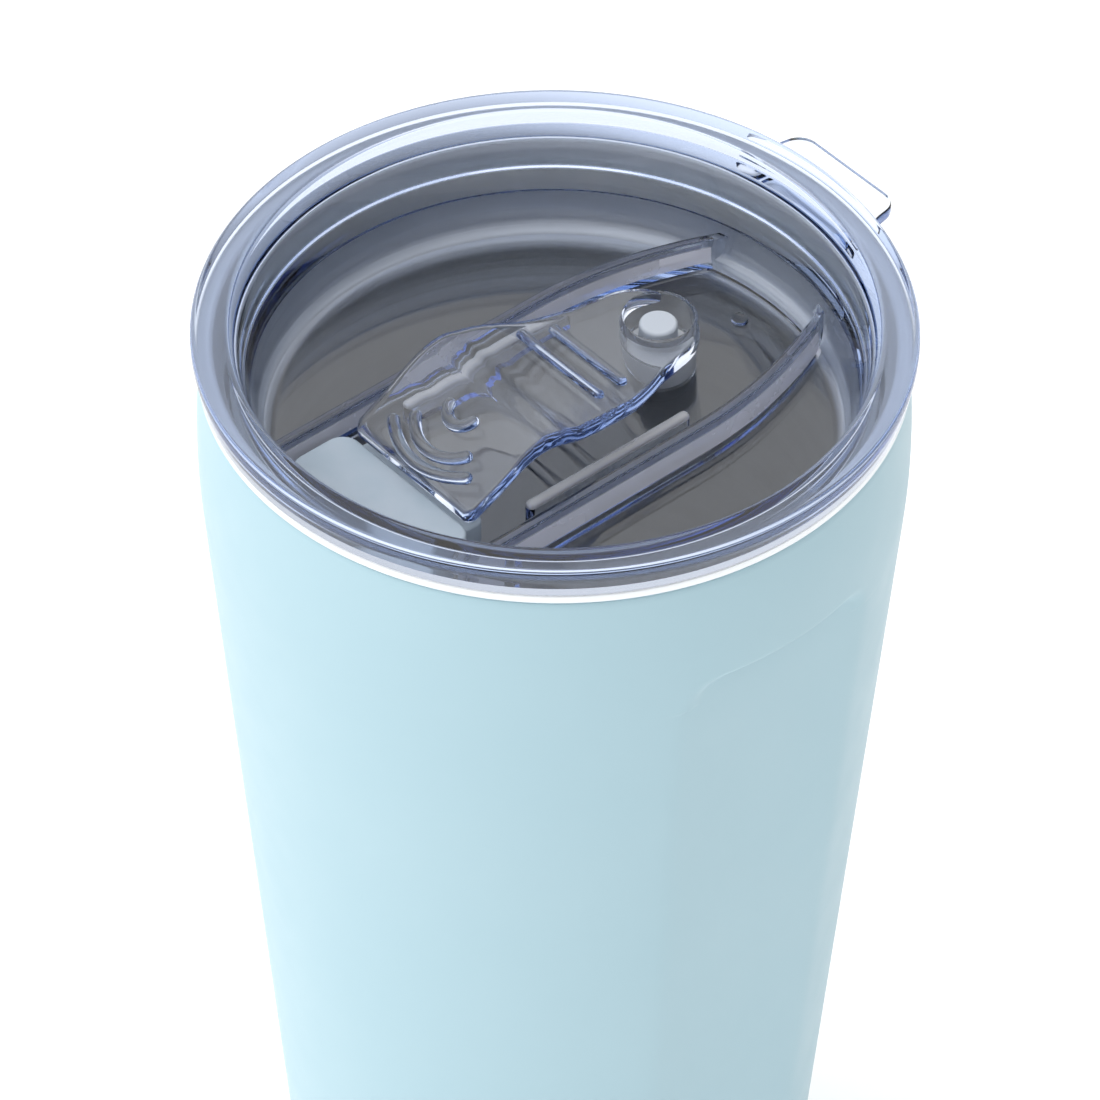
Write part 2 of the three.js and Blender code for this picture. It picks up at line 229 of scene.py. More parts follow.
def lofted(name, rings):
    """A closed solid through plan outlines with equal point counts, each given as (points, height)."""
    count = len(rings[0][0])
    vertices = [(x, y, z) for outline, z in rings for x, y in outline]
    faces = []
    for i in range(len(rings) - 1):
        for k in range(count):
            a, b = i * count + k, i * count + (k + 1) % count
            faces.append((a, b, b + count, a + count))
    faces.append(tuple(range(count))[::-1])
    faces.append(tuple(range((len(rings) - 1) * count, len(rings) * count)))
    piece = new_object(name, vertices, faces)
    recalculate(piece)
    return piece


def curve_through(points, at):
    """The value at one place on a smooth curve through (place, value) points."""
    index = max(0, min(len(points) - 2, sum(1 for p in points if p[0] <= at) - 1))
    p0, p3 = points[max(index - 1, 0)], points[min(index + 2, len(points) - 1)]
    p1, p2 = points[index], points[index + 1]
    span = p2[0] - p1[0]
    t = min(max((at - p1[0]) / span, 0), 1)
    slope1 = (p2[1] - p0[1]) / (p2[0] - p0[0]) * span
    slope2 = (p3[1] - p1[1]) / (p3[0] - p1[0]) * span
    return ((2 * t ** 3 - 3 * t ** 2 + 1) * p1[1] + (t ** 3 - 2 * t ** 2 + t) * slope1
            + (3 * t ** 2 - 2 * t ** 3) * p2[1] + (t ** 3 - t ** 2) * slope2)


def tube(name, path, radius):
    """A rod with round ends along a path of points."""
    sides = TUBE_SIDES
    path = [Vector(p) for p in path]
    along = [(path[min(i + 1, len(path) - 1)] - path[max(i - 1, 0)]).normalized() for i in range(len(path))]
    cap = [math.pi / 2 * k / TUBE_CAP_STEPS for k in range(1, TUBE_CAP_STEPS + 1)]
    rows = []
    for angle in reversed(cap):
        rows.append((path[0] - along[0] * radius * math.sin(angle), along[0], radius * math.cos(angle)))
    rows += [(p, t, radius) for p, t in zip(path, along)]
    for angle in cap:
        rows.append((path[-1] + along[-1] * radius * math.sin(angle), along[-1], radius * math.cos(angle)))
    vertices, faces = [], []
    for centre, forward, size in rows:
        side = forward.cross(Vector((0, 0, 1))).normalized()
        up = side.cross(forward)
        for s in range(sides):
            angle = 2 * math.pi * s / sides
            vertices.append(centre + (side * math.cos(angle) + up * math.sin(angle)) * max(size, 1e-3))
    for i in range(len(rows) - 1):
        for s in range(sides):
            a, b = i * sides + s, i * sides + (s + 1) % sides
            faces.append((a, b, b + sides, a + sides))
    faces.append(tuple(range(sides))[::-1])
    faces.append(tuple(range((len(rows) - 1) * sides, len(rows) * sides)))
    piece = new_object(name, vertices, faces)
    recalculate(piece)
    return piece


def recalculate(piece):
    tool = bmesh.new()
    tool.from_mesh(piece.data)
    bmesh.ops.recalc_face_normals(tool, faces=tool.faces)
    tool.to_mesh(piece.data)
    tool.free()


REACH = 0.01 * MM                        # how close a joined surface stays to the one it came from


def remember(piece):
    """A piece's triangles with their corner normals, to look up after it has been joined or cut."""
    mesh = piece.data
    mesh.calc_loop_triangles()
    corners = [Vector(n.vector) for n in mesh.corner_normals]
    points = [v.co.copy() for v in mesh.vertices]
    triangles = [tuple(t.vertices) for t in mesh.loop_triangles]
    normals = [tuple(corners[k] for k in t.loops) for t in mesh.loop_triangles]
    low = Vector([min(p[k] for p in points) - REACH for k in range(3)])
    high = Vector([max(p[k] for p in points) + REACH for k in range(3)])
    return BVHTree.FromPolygons(points, triangles), points, triangles, normals, low, high


def combine(target, others, skins, operation="UNION"):
    """Joins or cuts the target with each of the others, which are used up and remembered in skins."""
    for other in others:
        skins.append(remember(other))
        change = target.modifiers.new("combine", "BOOLEAN")
        change.object = other
        change.operation = operation
        change.solver = "EXACT"
        graph = bpy.context.evaluated_depsgraph_get()
        result = bpy.data.meshes.new_from_object(target.evaluated_get(graph))
        target.modifiers.clear()
        old = target.data
        target.data = result
        result.name = target.name
        bpy.data.meshes.remove(old)
        bpy.data.objects.remove(other)
    return target


def closest_face(skin, place, facing):
    """The remembered triangle at a place that lies most nearly in a given plane, and how well it fits."""
    best, fit = None, SAME_PLANE
    for _, normal, index, _ in skin[0].find_nearest_range(place, REACH):
        alike = abs(normal.dot(facing))
        if alike > fit:
            best, fit = (index, normal), alike
    return best, fit


def tidy(piece, skins):
    """Merges stray points and gives each surface back the smooth normals it had before."""
    tool = bmesh.new()
    tool.from_mesh(piece.data)
    bmesh.ops.remove_doubles(tool, verts=tool.verts, dist=0.002 * MM)
    bmesh.ops.dissolve_degenerate(tool, edges=tool.edges, dist=0.001 * MM)
    bmesh.ops.triangulate(tool, faces=[f for f in tool.faces if len(f.verts) > 4])
    tool.to_mesh(piece.data)
    tool.free()
    smooth(piece, JOINED_SHARP)
    mesh = piece.data
    normals = [Vector(n.vector) for n in mesh.corner_normals]
    for polygon in mesh.polygons:
        middle, facing = polygon.center, polygon.normal
        source, best = None, SAME_PLANE
        for skin in skins:
            low, high = skin[4], skin[5]
            if any(middle[k] < low[k] or middle[k] > high[k] for k in range(3)):
                continue
            found, fit = closest_face(skin, middle, facing)
            if found and fit > best:
                source, best = skin, fit
        if source is None:
            continue
        for corner in polygon.loop_indices:
            place = mesh.vertices[mesh.loops[corner].vertex_index].co
            found, _ = closest_face(source, place, facing)
            if not found:
                continue
            triangle = [source[1][v] for v in source[2][found[0]]]
            shares = poly_3d_calc(triangle, place)
            normal = sum((n * w for n, w in zip(source[3][found[0]], shares)), Vector())
            if normal.length > 1e-6:
                normals[corner] = normal.normalized() * math.copysign(1, normal.dot(facing))
    mesh.normals_split_custom_set([tuple(n) for n in normals])


def bent(piece, height_at, low_y, high_y, cuts):
    """Slices a flat piece across its length and lifts it to follow height_at(y)."""
    tool = bmesh.new()
    tool.from_mesh(piece.data)
    for y in np.linspace(low_y, high_y, cuts):
        geometry = list(tool.verts) + list(tool.edges) + list(tool.faces)
        bmesh.ops.bisect_plane(tool, geom=geometry, dist=1e-7, plane_co=(0, y * MM, 0),
                               plane_no=(0, 1, 0))
    for vertex in tool.verts:
        vertex.co.z += height_at(vertex.co.y / MM) * MM
    tool.to_mesh(piece.data)
    tool.free()
    smooth(piece)
    return piece


# ---- Materials ----
class Nodes:
    """A small helper for building one material's node tree."""

    def __init__(self, name):
        self.material = bpy.data.materials.new(name)
        self.material.use_nodes = True
        self.tree = self.material.node_tree
        self.tree.nodes.clear()
        self.output = self.add("ShaderNodeOutputMaterial")
        self.shader = self.add("ShaderNodeBsdfPrincipled")
        self.join(self.shader.outputs[0], self.output.inputs["Surface"])
        self.place = self.add("ShaderNodeTexCoord").outputs["Object"]

    def add(self, kind, **settings):
        node = self.tree.nodes.new(kind)
        for key, value in settings.items():
            setattr(node, key, value)
        return node

    def join(self, source, target):
        self.tree.links.new(source, target)

    def set(self, **values):
        for key, value in values.items():
            self.shader.inputs[key.replace("_", " ")].default_value = value

    def noise(self, scale, detail, where=None):
        node = self.add("ShaderNodeTexNoise")
        node.inputs["Scale"].default_value = scale
        node.inputs["Detail"].default_value = detail
        self.join(where or self.place, node.inputs["Vector"])
        return node.outputs["Fac"]

    def spread(self, source, low, high, from_low=0.3, from_high=0.7):
        node = self.add("ShaderNodeMapRange")
        ends = {"From Min": from_low, "From Max": from_high, "To Min": low, "To Max": high}
        for key, value in ends.items():
            node.inputs[key].default_value = value
        self.join(source, node.inputs["Value"])
        return node.outputs["Result"]

    def mix(self, fac, first, second):
        node = self.add("ShaderNodeMix", data_type="RGBA")
        for socket, value in ((node.inputs[6], first), (node.inputs[7], second)):
            if isinstance(value, tuple):
                socket.default_value = (*value, 1.0)
            else:
                self.join(value, socket)
        self.join(fac, node.inputs[0])
        return node.outputs[2]

    def axes(self):
        """The place's x, y and z."""
        split = self.add("ShaderNodeSeparateXYZ")
        self.join(self.place, split.inputs[0])
        return split.outputs[0], split.outputs[1], split.outputs[2]

    def near(self, value, middle, reach):
        """1 where the value is within reach of the middle, and 0 elsewhere."""
        test = self.calc("COMPARE", value, middle)
        test.node.inputs[2].default_value = reach
        return test

    def calc(self, kind, first, second=None):
        node = self.add("ShaderNodeMath", operation=kind)
        for socket, value in zip(node.inputs, (first, second)):
            if value is None:
                continue
            if isinstance(value, (int, float)):
                socket.default_value = value
            else:
                self.join(value, socket)
        return node.outputs[0]

    def from_axis(self, x, y):
        return self.calc("SQRT", self.calc("ADD", self.calc("MULTIPLY", x, x), self.calc("MULTIPLY", y, y)))

    def bump(self, height, strength, distance):
        node = self.add("ShaderNodeBump")
        node.inputs["Strength"].default_value = strength
        node.inputs["Distance"].default_value = distance
        self.join(height, node.inputs["Height"])
        self.join(node.outputs["Normal"], self.shader.inputs["Normal"])

    def spun(self, scale):
        """Coordinates that hardly change round the axis, for marks left by turning and polishing."""
        x, y, z = self.axes()
        radius = self.from_axis(x, y)
        angle = self.calc("ARCTAN2", y, x)
        pack = self.add("ShaderNodeCombineXYZ")
        self.join(self.calc("MULTIPLY", radius, scale), pack.inputs[0])
        self.join(self.calc("MULTIPLY", z, scale), pack.inputs[1])
        self.join(self.calc("MULTIPLY", angle, 1.5), pack.inputs[2])
        return pack.outputs[0]


def paint_material():
    """Satin aqua paint: a faint cloudiness in the colour and the fine orange peel of sprayed paint."""
    m = Nodes("satin_aqua_paint")
    cloud = m.noise(28, 3)
    colour = m.mix(m.spread(cloud, 0, 1), (0.418, 0.6, 0.672), (0.434, 0.613, 0.683))
    m.join(colour, m.shader.inputs["Base Color"])
    m.join(m.spread(m.noise(160, 3), 0.36, 0.44), m.shader.inputs["Roughness"])
    m.bump(m.noise(1900, 2), 0.05, 0.00004)
    m.set(IOR=1.48, Specular_IOR_Level=0.22, Coat_Weight=0.03, Coat_Roughness=0.25)
    return m.material


def steel_material():
    """Spun satin stainless steel with fine rings left by polishing, duller near the lip, and paler there as a
    painted highlight on the upper wall and lip.
    """
    m = Nodes("spun_steel")
    rings = m.noise(1.0, 3, m.spun(2600))
    broad = m.noise(1.0, 2, m.spun(260))
    colour = m.mix(m.spread(broad, 0, 1), (0.62, 0.63, 0.645), (0.68, 0.69, 0.7))
    height = m.axes()[2]
    # Painted highlight: the upper wall, shoulder and lip get a paler colour where they catch the bright
    # studio; the same mask also makes them duller.
    lip = m.spread(height, 0, 1, (LIP_TOP - 17) * MM, (LIP_TOP - 14) * MM)
    m.join(m.mix(lip, colour, (0.86, 0.885, 0.91)), m.shader.inputs["Base Color"])
    satin = m.spread(rings, 0.42, 0.53)
    m.join(m.calc("ADD", satin, m.calc("MULTIPLY", lip, 0.12)), m.shader.inputs["Roughness"])
    m.bump(rings, 0.12, 0.00002)
    m.set(Metallic=1.0)
    return m.material


def clear_material(name, wave=0.006, satin=None):
    """Clear copolyester with a blue toner, slightly wavy from the mould, with a trace of fine scuffing.
    Satin builds a mask of the faces that the mould leaves milky instead of polished, and of faces made milky
    as a painted highlight."""
    m = Nodes(name)
    m.set(Transmission_Weight=1.0, IOR=1.56)
    m.shader.inputs["Base Color"].default_value = (0.985, 0.99, 1.0, 1.0)
    rough = m.spread(m.noise(900, 4), 0.0, 0.035, 0.55, 0.8)
    if satin:
        mask = satin(m)
        # Masked faces turn milky lavender; on the guides' tops this is a painted highlight.
        m.join(m.mix(mask, (0.985, 0.99, 1.0), (0.84, 0.86, 0.98)), m.shader.inputs["Base Color"])
        clear = m.calc("SUBTRACT", 1.0, m.calc("MULTIPLY", mask, 0.85))
        m.join(clear, m.shader.inputs["Transmission Weight"])
        rough = m.calc("ADD", rough, m.calc("MULTIPLY", mask, 0.3))
    m.join(rough, m.shader.inputs["Roughness"])
    m.bump(m.noise(130, 1), wave, 0.0002)
    volume = m.add("ShaderNodeVolumeAbsorption")
    volume.inputs["Color"].default_value = (0.0, 0.25, 0.68, 1.0)
    volume.inputs["Density"].default_value = 64.0
    m.join(volume.outputs[0], m.output.inputs["Volume"])
    return m.material


def rail_sides(m):
    """Mask of the rails' side faces, following the rails' bend, and of the low guides' tops in the channel,
    whose milky colour is a painted highlight.
    """
    x, y, z = m.axes()
    across = m.calc("ABSOLUTE", x)
    bend = m.spread(y, 0, 1, RAIL_BEND_Y * MM, RAIL_END_Y * MM)
    narrowing = m.calc("MULTIPLY", m.calc("MULTIPLY", bend, bend), (RAIL_INNER - RAIL_INNER_BACK) * MM)
    middle = (RAIL_INNER + RAIL_OUTER + RAIL_DRAFT) / 2
    rails = m.near(m.calc("ADD", across, narrowing), middle * MM, 1.4 * MM)
    below = m.spread(z, 1, 0, (DATUM + RAIL_TOP - 1.5) * MM, (DATUM + RAIL_TOP - 1.2) * MM)
    above = m.spread(z, 0, 1, (DATUM + WELL_FLOOR + 0.02) * MM, (DATUM + WELL_FLOOR + 0.1) * MM)
    inside = m.calc("LESS_THAN", m.from_axis(x, y), (CHANNEL_RADIUS - 0.2) * MM)
    sides = m.calc("MULTIPLY", m.calc("MULTIPLY", rails, inside), m.calc("MULTIPLY", below, above))
    # The guides' tops are made milky as a painted highlight.
    guide = m.near(across, GUIDE_X * MM, (GUIDE_HALF_WIDTH + 0.05) * MM)
    top = m.near(z, (DATUM + GUIDE_TOP - 0.1) * MM, 0.6 * MM)
    guides = m.calc("MULTIPLY", m.calc("MULTIPLY", guide, inside), m.calc("MULTIPLY", top, 0.45))
    level = m.spread(m.noise(75, 2), 0.65, 1.0)
    return m.calc("MULTIPLY", level, m.calc("ADD", sides, guides))


def silicone_material(name, low, high, roughness=0.5, scatter=0.0, clear=0.0, tip=None):
    """Moulded silicone: soft tone changes, a matt skin and faint mould texture. A tip (height, colour)
    gives the part above a height its own colour."""
    m = Nodes(name)
    colour = m.mix(m.spread(m.noise(220, 3), 0, 1), low, high)
    if tip:
        above = m.spread(m.axes()[2], 0, 1, (tip[0] - 0.2) * MM, (tip[0] + 0.2) * MM)
        colour = m.mix(above, colour, tip[1])
    m.join(colour, m.shader.inputs["Base Color"])
    m.join(m.spread(m.noise(1200, 2), roughness - 0.06, roughness + 0.06), m.shader.inputs["Roughness"])
    m.bump(m.noise(2600, 2), 0.06, 0.00003)
    m.set(IOR=1.41, Subsurface_Weight=scatter, Subsurface_Scale=0.002, Transmission_Weight=clear)
    m.shader.inputs["Subsurface Radius"].default_value = (1.0, 1.0, 1.0)
    return m.material


def dull_material(name, low, high, roughness, metallic=0.0):
    """Plain hidden metal or glass, with speckles."""
    m = Nodes(name)
    m.join(m.mix(m.spread(m.noise(1500, 4), 0, 1), low, high), m.shader.inputs["Base Color"])
    m.join(m.spread(m.noise(700, 2), roughness - 0.08, roughness + 0.08), m.shader.inputs["Roughness"])
    m.bump(m.noise(3000, 3), 0.15, 0.00004)
    m.set(Metallic=metallic)
    return m.material


def dress(piece, body, slot, material, *nodes):
    """Puts a finished piece on its body in place of its CAD nodes."""
    piece.data.materials.clear()
    piece.data.materials.append(material)
    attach(piece, body)
    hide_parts(*nodes)


# ---- Cup ----
def wall_radius(z):
    depth = PAINT_EDGE - z
    turning = (RIM_FLARE + TAPER) / SHOULDER_DEPTH
    near = RIM_RADIUS + RIM_FLARE * depth - turning * depth * depth / 2
    shoulder = RIM_RADIUS + (RIM_FLARE - TAPER) * SHOULDER_DEPTH / 2
    return np.where(depth < SHOULDER_DEPTH, near, shoulder - TAPER * (depth - SHOULDER_DEPTH))


def panel_press(angle, z):
    """How far the wall is pressed in at an angle and height, for the two flat grip panels."""
    around = np.minimum(np.abs(np.angle(np.exp(1j * angle))),
                        np.abs(np.angle(np.exp(1j * (angle - math.pi)))))
    radius = wall_radius(z)
    plane = radius * (1 - math.cos(PANEL_HALF_ANGLE) / np.cos(np.minimum(around, 1.2)))
    depth = (plane + np.sqrt(plane ** 2 + PANEL_CREASE ** 2)) / 2
    across = np.abs(around) * radius - PANEL_HALF_ANGLE * radius + PANEL_CORNER
    middle, half = (PANEL_TOP + PANEL_BOTTOM) / 2, (PANEL_TOP - PANEL_BOTTOM) / 2
    along = np.abs(z - middle) - half + PANEL_CORNER
    corner = (np.hypot(np.maximum(across, 0), np.maximum(along, 0))
              + np.minimum(np.maximum(across, along), 0))
    inside = np.clip((PANEL_CORNER - corner) / PANEL_EDGE, 0, 1)
    ends = np.clip((half - np.abs(z - middle)) / PANEL_EDGE, 0, 1)
    fade = np.where(along > 0, inside, ends)
    return depth * fade * fade * (3 - 2 * fade) * (around < PANEL_HALF_ANGLE * 1.6)


def make_outer_shell():
    foot = float(shell_low.z)
    corner_z = foot + FOOT_CORNER
    heights = np.concatenate([
        np.linspace(PAINT_EDGE - 0.3, PANEL_TOP + 1, 18),
        np.linspace(PANEL_TOP + 0.6, PANEL_TOP - 7, 30),
        np.linspace(PANEL_TOP - 8, PANEL_BOTTOM + 8, 60),
        np.linspace(PANEL_BOTTOM + 7, PANEL_BOTTOM - 0.6, 30),
        np.linspace(PANEL_BOTTOM - 1.5, corner_z, 8),
    ])
    corner_radius = float(wall_radius(corner_z))
    outside = [(float(wall_radius(z)), float(z)) for z in heights]
    corner = [(corner_radius - FOOT_CORNER * (1 - math.cos(a)), corner_z - FOOT_CORNER * math.sin(a))
              for a in np.linspace(0, math.pi / 2, 10)[1:]]
    top = [(RIM_RADIUS - 0.35, PAINT_EDGE), (RIM_RADIUS - 0.1, PAINT_EDGE - 0.08)]
    inward = [(FOOT_SEAT_RADIUS, foot), (FOOT_SEAT_RADIUS, foot + FOOT_SEAT_HEIGHT),
              (corner_radius - 2.2, foot + FOOT_SEAT_HEIGHT)]
    inside = [(float(wall_radius(z)) - WALL, float(z)) for z in heights[::-1]]
    profile = [*inside, (RIM_RADIUS - WALL, PAINT_EDGE), *top, *outside, *corner, *inward]
    shell = turned("outer_shell_fine", profile[::-1], press=panel_press)
    dress(shell, "cup", "paint", paint_material(), "outer_shell")


def make_inner_vessel():
    floor = float(vessel_low.z) + WALL
    inside = [(0, floor, 0), (25.2, floor, 6), (26.1, 14, 30), (34.95, 147.2, 4), (35.5, 150.6, 2.2),
              (38.6, 152.6, 2.6), (39.35, 156.5, 8), (40.3, 163.4, 2), (41.4, LIP_TOP, 0.7)]
    lip = [(LIP_RADIUS - 0.02, LIP_TOP, 0.4), (LIP_RADIUS - 0.02, PAINT_EDGE + 0.35, 0.3),
           (42.7, PAINT_EDGE + 0.3, 0.1), (42.5, PAINT_EDGE + 0.02, 0.1), (41.9, PAINT_EDGE - 0.3, 0)]
    outside = [(40.2, 156, 8), (39.5, 153.2, 3), (36.3, 151.3, 2.2), (35.75, 147.2, 4), (26.9, 14, 30),
               (26, floor - WALL, 6), (0, floor - WALL, 0)]
    profile = filleted(inside + lip + outside, closed=False)
    vessel = turned("inner_vessel_fine", profile[::-1])
    dress(vessel, "cup", "steel", steel_material(), "inner_vessel")


def make_base():
    glass = dull_material("solder_glass", (0.32, 0.31, 0.27), (0.42, 0.4, 0.35), 0.5)
    sintered = dull_material("sintered_getter", (0.06, 0.06, 0.065), (0.12, 0.12, 0.12), 0.7, 0.6)
    for name, material in (("bottom_plate", steel_material()), ("port_seal", glass), ("getter", sintered)):
        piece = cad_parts[name]
        piece.data.materials.clear()
        piece.data.materials.append(material)
    low, high = node_box("base_pad")
    corners = [(0, low.z, 0), (high.x, low.z, 0.6), (high.x, high.z, 0.1), (0, high.z, 0)]
    pad = turned("base_pad_fine", filleted(corners, closed=False), turn=160)
    material = silicone_material("pad_silicone", (0.3, 0.43, 0.48), (0.34, 0.47, 0.52), 0.62)
    dress(pad, "cup", "pad_silicone", material, "base_pad")


# ---- Lid ----
def side_at(y, half_width, back_half_width):
    """Half-width of the channel at y: straight, then bending in towards the back."""
    t = max(0.0, (y - RAIL_BEND_Y) / (RAIL_END_Y - RAIL_BEND_Y))
    return half_width - (half_width - back_half_width) * t * t


def channel_outline(half_width, back_half_width, radius):
    """The channel in plan, ended front and back by a circle round the axis."""
    front_y = -math.sqrt(radius ** 2 - half_width ** 2)
    low, high = RAIL_BEND_Y, radius
    for _ in range(40):
        middle = (low + high) / 2
        inside = math.hypot(side_at(middle, half_width, back_half_width), middle) < radius
        low, high = (middle, high) if inside else (low, middle)
    front_angle = math.asin(half_width / radius)
    back_angle = math.asin(side_at(low, half_width, back_half_width) / radius)
    front = [(radius * math.sin(a), -radius * math.cos(a))
             for a in np.linspace(-front_angle, front_angle, 24)]
    ys = [*np.linspace(front_y, RAIL_BEND_Y, 12)[1:], *np.linspace(RAIL_BEND_Y, low, 28)[1:-1]]
    side = [(side_at(y, half_width, back_half_width), y) for y in ys]
    back = [(radius * math.sin(a), radius * math.cos(a)) for a in np.linspace(back_angle, -back_angle, 20)]
    return front + side + back + [(-x, y) for x, y in side[::-1]]


def rounded_steps(radius, steps=5):
    """(how far in, how far down) along a rounded edge, from its side to its top."""
    angles = np.linspace(0, math.pi / 2, steps + 1)
    return [(radius * (1 - math.cos(a)), radius * (1 - math.sin(a))) for a in angles]


def lid_shell():
    """Flange, plug wall and well floor, turned in one piece."""
    d = DATUM
    under = [(0, d - 16.4, 0), (36.6, d - 16.4, 2.6), (38.5, d - 13, 4), (38.95, d - 10.2, 0.25),
             (38.1, d - 10.2, 0.2), (38.1, d - 6.6, 0.2), (39.1, d - 6.6, 0.25), (39.5, d - 2.85, 0.5)]
    flange = [(43.5, d - 2.85, 0.3), (FLANGE_RADIUS, d - 0.1, 2.0),
              (FLANGE_RADIUS, d + FLANGE_CROWN, 1.1), (39.4, d + FLANGE_CROWN, 1.0)]
    well = [(38.3, d - 2.5, 6), (36.75, d - 10.6, 3), (35.9, d + WELL_FLOOR, 2.6), (0, d + WELL_FLOOR, 0)]
    return turned("lid_fine", filleted(under + flange + well, closed=False))


RAIL_YS = [-36.9, *np.linspace(-33, RAIL_BEND_Y, 10), *np.linspace(RAIL_BEND_Y, RAIL_END_Y, 30)[1:]]


def rail(side):
    """One side rail, drafted outside, with a rounded outer top edge."""
    d = DATUM
    rows = [(0.75, HULL_TOP), (0.68, WELL_FLOOR)]
    rows += [(-inward, RAIL_TOP - down) for inward, down in rounded_steps(0.35)]
    rings = []
    for grow, z in rows:
        outer = [(side_at(y, RAIL_OUTER, RAIL_OUTER_BACK) + grow, y) for y in RAIL_YS]
        inner = [(side_at(y, RAIL_INNER, RAIL_INNER_BACK) - 0.3, y) for y in RAIL_YS]
        outline = [(x, math.copysign(min(abs(y), math.sqrt(RAIL_REACH ** 2 - x * x)), y))
                   for x, y in outer + inner[::-1]]
        rings.append(([(side * x, y) for x, y in outline], d + z))
    return lofted("rail", rings)


def channel_cutter():
    """What is cut out between the rails, with a rounded foot and a flare that rounds the rails' tops."""
    d = DATUM
    rows = [(-inward, CHANNEL_FLOOR + 0.4 - up) for inward, up in
            [(0.4 * (1 - math.sin(a)), 0.4 * math.cos(a)) for a in np.linspace(0, math.pi / 2, 5)]]
    rows += [(inward, RAIL_TOP - down) for inward, down in rounded_steps(0.3)]
    rows += [(0.3, RAIL_TOP + 1)]
    outlines = [channel_outline(RAIL_INNER + grow, RAIL_INNER_BACK + grow, CHANNEL_RADIUS + grow)
                for grow, _ in rows]
    return lofted("channel", [(outline, d + z) for outline, (_, z) in zip(outlines, rows)])


def rectangle(x0, x1, y0, y1, corner):
    return filleted([(x0, y0, corner), (x1, y0, corner), (x1, y1, corner), (x0, y1, corner)])


def tab():
    """The lifting tab, whose root lies inside the flange."""
    half = [(12.4, 41.0, 0), (12.0, 42.4, 2), (9.6, 43.6, 1.6), (8.7, 48.4, 3.2)]
    corners = half + [(-x, y, r) for x, y, r in half[::-1]]
    return prism("tab", filleted(corners), DATUM - 2.4, DATUM - 0.7, round_low=0.45, round_high=0.45)


def make_lid():
    d = DATUM
    body = lid_shell()
    skins = [remember(body)]
    hull_plan = channel_outline(RAIL_OUTER + 0.8, RAIL_OUTER_BACK + 0.4, HULL_RADIUS)
    hull = prism("hull", hull_plan, d + HULL_BOTTOM, d + HULL_TOP, round_low=0.6)
    combine(body, [hull, rail(1), rail(-1), tab()], skins)
    floor = d + CHANNEL_FLOOR
    under, over = d + HULL_BOTTOM - 1, floor + 1
    sip = prism("sip", rectangle(-SIP_HALF_WIDTH, SIP_HALF_WIDTH, SIP_FRONT, SIP_BACK, 2.5), under, over)
    vent = turned("vent", [(0, under), (VENT_RADIUS, under), (VENT_RADIUS, over), (0, over)],
                  turn=32, centre=(0, VENT_Y))
    combine(body, [channel_cutter(), sip, vent], skins, "DIFFERENCE")
    guides = []
    for x in (-GUIDE_X, GUIDE_X):
        plan = rectangle(x - GUIDE_HALF_WIDTH, x + GUIDE_HALF_WIDTH, GUIDE_FRONT, GUIDE_BACK, 0.7)
        guides.append(prism("guide", plan, floor - 0.3, d + GUIDE_TOP, round_high=0.6))
    pip_corners = [(0, floor - 0.3, 0), (PIP_RADIUS, floor - 0.3, 0), (PIP_RADIUS - 0.02, floor + 0.45, 0.25),
                   (0.7, floor + 0.4, 0.2), (0, floor + 0.25, 0)]
    pip = turned("pip", filleted(pip_corners, closed=False), turn=40, centre=(0, PIP_Y))
    combine(body, guides + [pip], skins)
    tidy(body, skins)
    dress(body, "lid", "clear_plastic", clear_material("clear_lid", satin=rail_sides), "lid_body")


def make_gasket():
    d = DATUM
    corners = [(38.2, d - 10.1, 0.1), (38.9, d - 10.1, 0.2), (39.4, d - 9.6, 0.15),
               (39.0, d - 9.2, 0.1), (39.0, d - 8.5, 0.1), (39.5, d - 8.0, 0.15),
               (39.0, d - 7.5, 0.1), (38.95, d - 6.7, 0.2), (38.2, d - 6.7, 0.1)]
    gasket = turned("lid_gasket_fine", filleted(corners))
    material = silicone_material("clear_silicone", (0.78, 0.83, 0.87), (0.85, 0.88, 0.9), 0.4, clear=0.15)
    dress(gasket, "lid", "clear_silicone", material, "lid_gasket")


# ---- Sliding gate ----
# Height of the plate's top along the gate: a front slope up to the ridge, and a level back end.
GATE_SPINE = [(GATE_FRONT, -9.2), (-20, -7.9), (-18, -6.9), (-16, -5.7), (-14, -4.5), (-12, -3.75),
              (-10.3, -3.5), (-8, -3.8), (-6, -4.4), (-4, -4.85), (-2, -5.4), (0, -6.0), (2, -6.65),
              (4, -7.15), (6, -7.4), (8, -7.45), (12, -7.35), (22.5, -7.3)]
GATE_HALF_WIDTHS = [(GATE_FRONT, GATE_FRONT_HALF), (-18, 11.0), (-14, 11.15), (-12, 11.3), (-10, 11.55),
                    (-8, 11.85), (-7, 11.9), (-4, 11.7), (-2, 11.4), (0, 10.95), (2, 10.45), (4, 10.0),
                    (6, 9.5), (8, 8.95), (10, 8.3)]


def gate_outline():
    """Plan of the gate: widest at the ridge, drawn in behind it, and a round end."""
    side = [(curve_through(GATE_HALF_WIDTHS, y), y) for y in np.linspace(-21.2, 10, 44)]
    start = math.acos(min(1, GATE_HALF_WIDTHS[-1][1] / GATE_END_RADIUS)) + 0.06
    arc = [(GATE_END_RADIUS * math.cos(a), GATE_END_Y + GATE_END_RADIUS * math.sin(a))
           for a in np.linspace(start, math.pi / 2, 18)]
    corner = [(0, GATE_FRONT, 0), (GATE_FRONT_HALF, GATE_FRONT, 1.3), (11.0, -18, 0)]
    front = [(point[0], point[1]) for point in filleted(corner, closed=False)[1:-1]]
    half = front + side + arc
    return half + [(-x, y) for x, y in half[::-1] if x > 1e-6]


def curved_rib(y, width, radius):
    """A rib on the front slope that curves round a point behind it."""
    half = math.asin(width / 2 / radius)
    path = []
    for a in np.linspace(-half, half, 28):
        py = y + radius - radius * math.cos(a)
        path.append((radius * math.sin(a), py, DATUM + curve_through(GATE_SPINE, py) + 0.02))
    return tube("rib", path, RIB_RADIUS)


